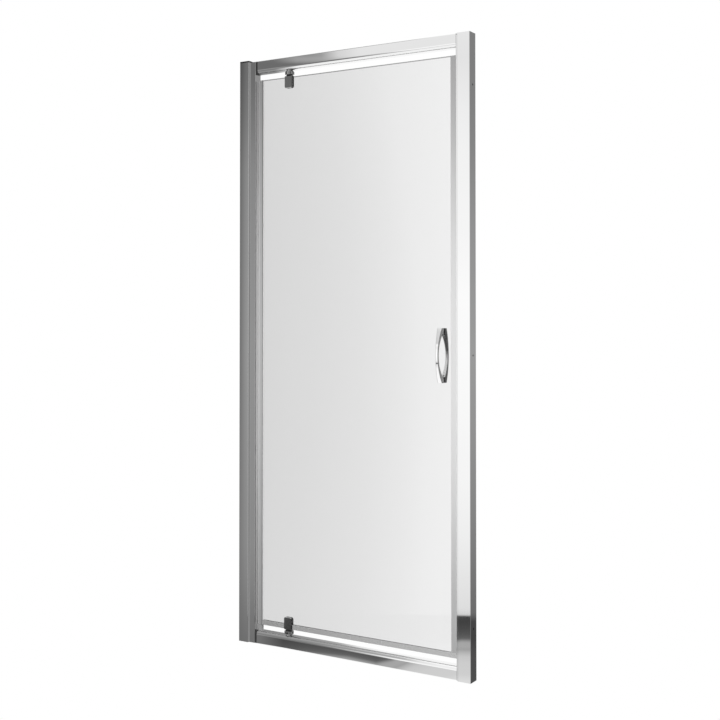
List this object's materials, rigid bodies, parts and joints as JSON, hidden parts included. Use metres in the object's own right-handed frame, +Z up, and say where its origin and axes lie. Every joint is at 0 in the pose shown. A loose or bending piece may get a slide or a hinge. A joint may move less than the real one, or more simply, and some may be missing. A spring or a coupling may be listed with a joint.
{
  "type": "pivot shower door",
  "caption": "Framed shower door: a glass panel with a bow handle on each side turns on a top and a bottom pivot in a slim metal frame between two wall profiles",
  "frame": {"origin": "on the tray, at the middle of the doorway and of the frame's depth", "axes": "X from the hinge side to the latch side, Y from the bathroom into the shower, Z up"},
  "size_m": [0.82, 0.072, 1.8545],
  "materials": {
    "anodised_aluminium": "bright silver, smooth",
    "chrome": "polished",
    "clear_glass": "clear, toughened",
    "clear_vinyl": "translucent",
    "grey_vinyl": "satin",
    "black_plastic": "satin",
    "grey_plastic": "satin",
    "black_rubber": "matte",
    "magnet_bar": "plastic-bonded magnet",
    "stainless_steel": "bright",
    "white_nylon": "satin"
  },
  "bodies": {
    "hinge_side": {"hinge_wall_profile": "anodised_aluminium", "hinge_wall_profile_cap": "black_plastic", "hinge_fixing_screws": "stainless_steel", "hinge_fixing_nuts": "stainless_steel", "hinge_screw_covers": "grey_plastic"},
    "frame": {"hinge_jamb": "anodised_aluminium", "latch_jamb": "anodised_aluminium", "threshold_rail": "anodised_aluminium", "header_rail": "anodised_aluminium", "threshold_end_gasket": "black_rubber", "header_end_gasket": "black_rubber", "rail_screws": "stainless_steel", "corner_block": "clear_vinyl", "jamb_magnet_strip": "grey_vinyl", "jamb_magnet": "magnet_bar", "bottom_pivot_housing": "chrome", "top_pivot_housing": "chrome", "bottom_pivot_bush": "black_plastic", "top_pivot_bush": "black_plastic", "pivot_backing_plates": "stainless_steel"},
    "door": {"glass_panel": "clear_glass", "bottom_clamp_front_body": "chrome", "top_clamp_front_body": "chrome", "bottom_clamp_rear_plate": "chrome", "top_clamp_rear_plate": "chrome", "bottom_clamp_pads": "black_rubber", "top_clamp_pads": "black_rubber", "bottom_pivot_pin": "stainless_steel", "top_pivot_pin": "stainless_steel", "clamp_screws": "stainless_steel", "hinge_edge_seal": "clear_vinyl", "latch_magnet_seal": "clear_vinyl", "door_magnet": "magnet_bar", "drip_seal": "clear_vinyl", "front_handle": "chrome", "rear_handle": "chrome", "handle_pads": "black_rubber", "handle_studs": "stainless_steel", "handle_sleeves": "white_nylon", "handle_grub_screws": "stainless_steel"},
    "latch_side": {"latch_wall_profile": "anodised_aluminium", "latch_wall_profile_cap": "anodised_aluminium", "latch_fixing_screws": "stainless_steel", "latch_fixing_nuts": "stainless_steel", "latch_screw_covers": "grey_plastic"}
  },
  "joints": [
    {"name": "frame_slide", "type": "slide", "parent": "hinge_side", "child": "frame", "axis": [1, 0, 0], "range_m": [-0.008, 0.011]},
    {"name": "door_swing", "type": "hinge", "parent": "frame", "child": "door", "pos_m": [-0.228, 0, 0], "axis": [0, 0, -1], "range_deg": [0, 100]},
    {"name": "latch_profile_slide", "type": "slide", "parent": "frame", "child": "latch_side", "axis": [1, 0, 0], "range_m": [-0.004, 0.011]}
  ]
}
